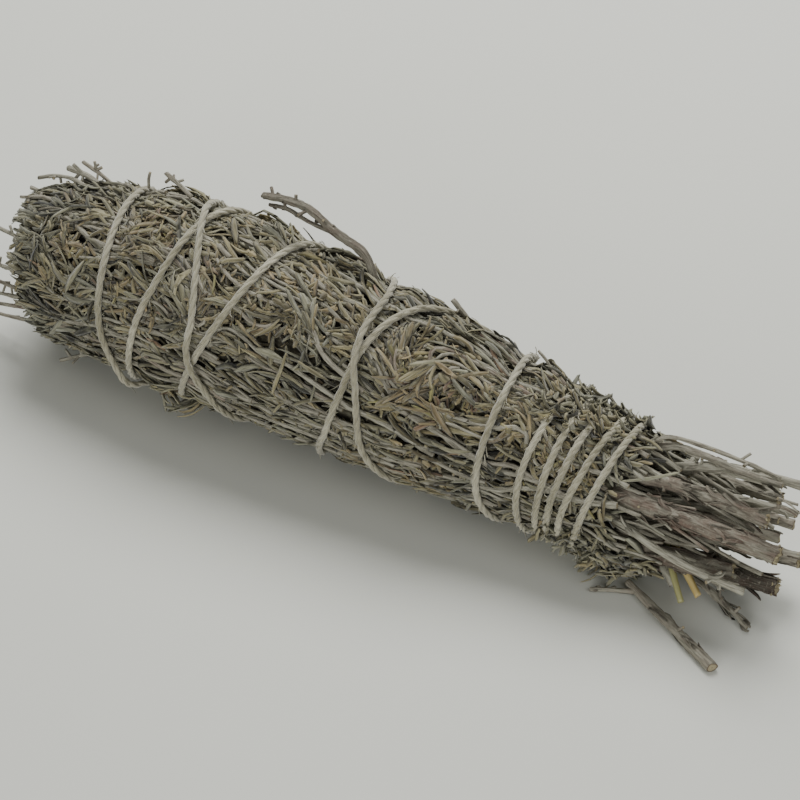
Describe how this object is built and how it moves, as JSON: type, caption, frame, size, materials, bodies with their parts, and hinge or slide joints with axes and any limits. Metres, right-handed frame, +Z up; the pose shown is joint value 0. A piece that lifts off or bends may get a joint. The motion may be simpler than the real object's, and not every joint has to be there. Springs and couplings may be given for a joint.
{
  "type": "sage smudge stick",
  "caption": "Long tapered bundle of dried sage sprigs bound with cotton string, leafy at one end with bare cut stems at the other, lying on its side.",
  "frame": {"origin": "middle of the bundle's length and width, on the surface that it lies on", "axes": "+X along the bundle towards the cut stems, -X towards the leafy end, +Z up"},
  "size_m": [0.2332, 0.0531, 0.0582],
  "materials": {
    "sage_grey": "dry felted grey-green leaf, matte",
    "sage_olive": "dry olive leaf, matte",
    "sage_tan": "dry tan leaf and flower bud, matte",
    "bark_grey": "weathered grey bark, matte, finely furrowed",
    "bark_red": "reddish brown shredding bark, matte",
    "straw_green": "dry green-yellow stalk, slight sheen",
    "straw_yellow": "dry straw-yellow stalk, slight sheen",
    "twine": "undyed twisted cotton, matte, slightly fuzzy"
  },
  "bodies": {
    "root": {"foliage_outer_01": "sage_olive", "stem_outer_01": "bark_red", "foliage_outer_02": "sage_tan", "stem_outer_02": "bark_grey", "foliage_outer_03": "sage_grey", "stem_outer_03": "bark_red", "foliage_outer_04": "sage_olive", "stem_outer_04": "bark_grey", "foliage_outer_05": "sage_tan", "stem_outer_05": "bark_grey", "foliage_outer_06": "sage_grey", "stem_outer_06": "bark_grey", "foliage_outer_07": "sage_olive", "stem_outer_07": "bark_grey", "foliage_outer_08": "sage_tan", "stem_outer_08": "bark_grey", "foliage_outer_09": "sage_grey", "stem_outer_09": "bark_grey", "foliage_outer_10": "sage_olive", "stem_outer_10": "bark_red", "foliage_outer_11": "sage_tan", "stem_outer_11": "bark_grey", "foliage_inner_1": "sage_tan", "stem_inner_1": "bark_grey", "foliage_inner_2": "sage_grey", "stem_inner_2": "bark_red", "foliage_inner_3": "sage_olive", "stem_inner_3": "bark_grey", "foliage_inner_4": "sage_tan", "stem_inner_4": "bark_grey", "foliage_inner_5": "sage_grey", "stem_inner_5": "bark_grey", "foliage_centre": "sage_grey", "stem_centre": "bark_red", "forked_twig": "bark_grey", "loose_twig": "bark_grey", "thin_twig": "bark_grey", "straw_green": "straw_green", "straw_yellow": "straw_yellow", "twine": "twine"}
  },
  "joints": []
}
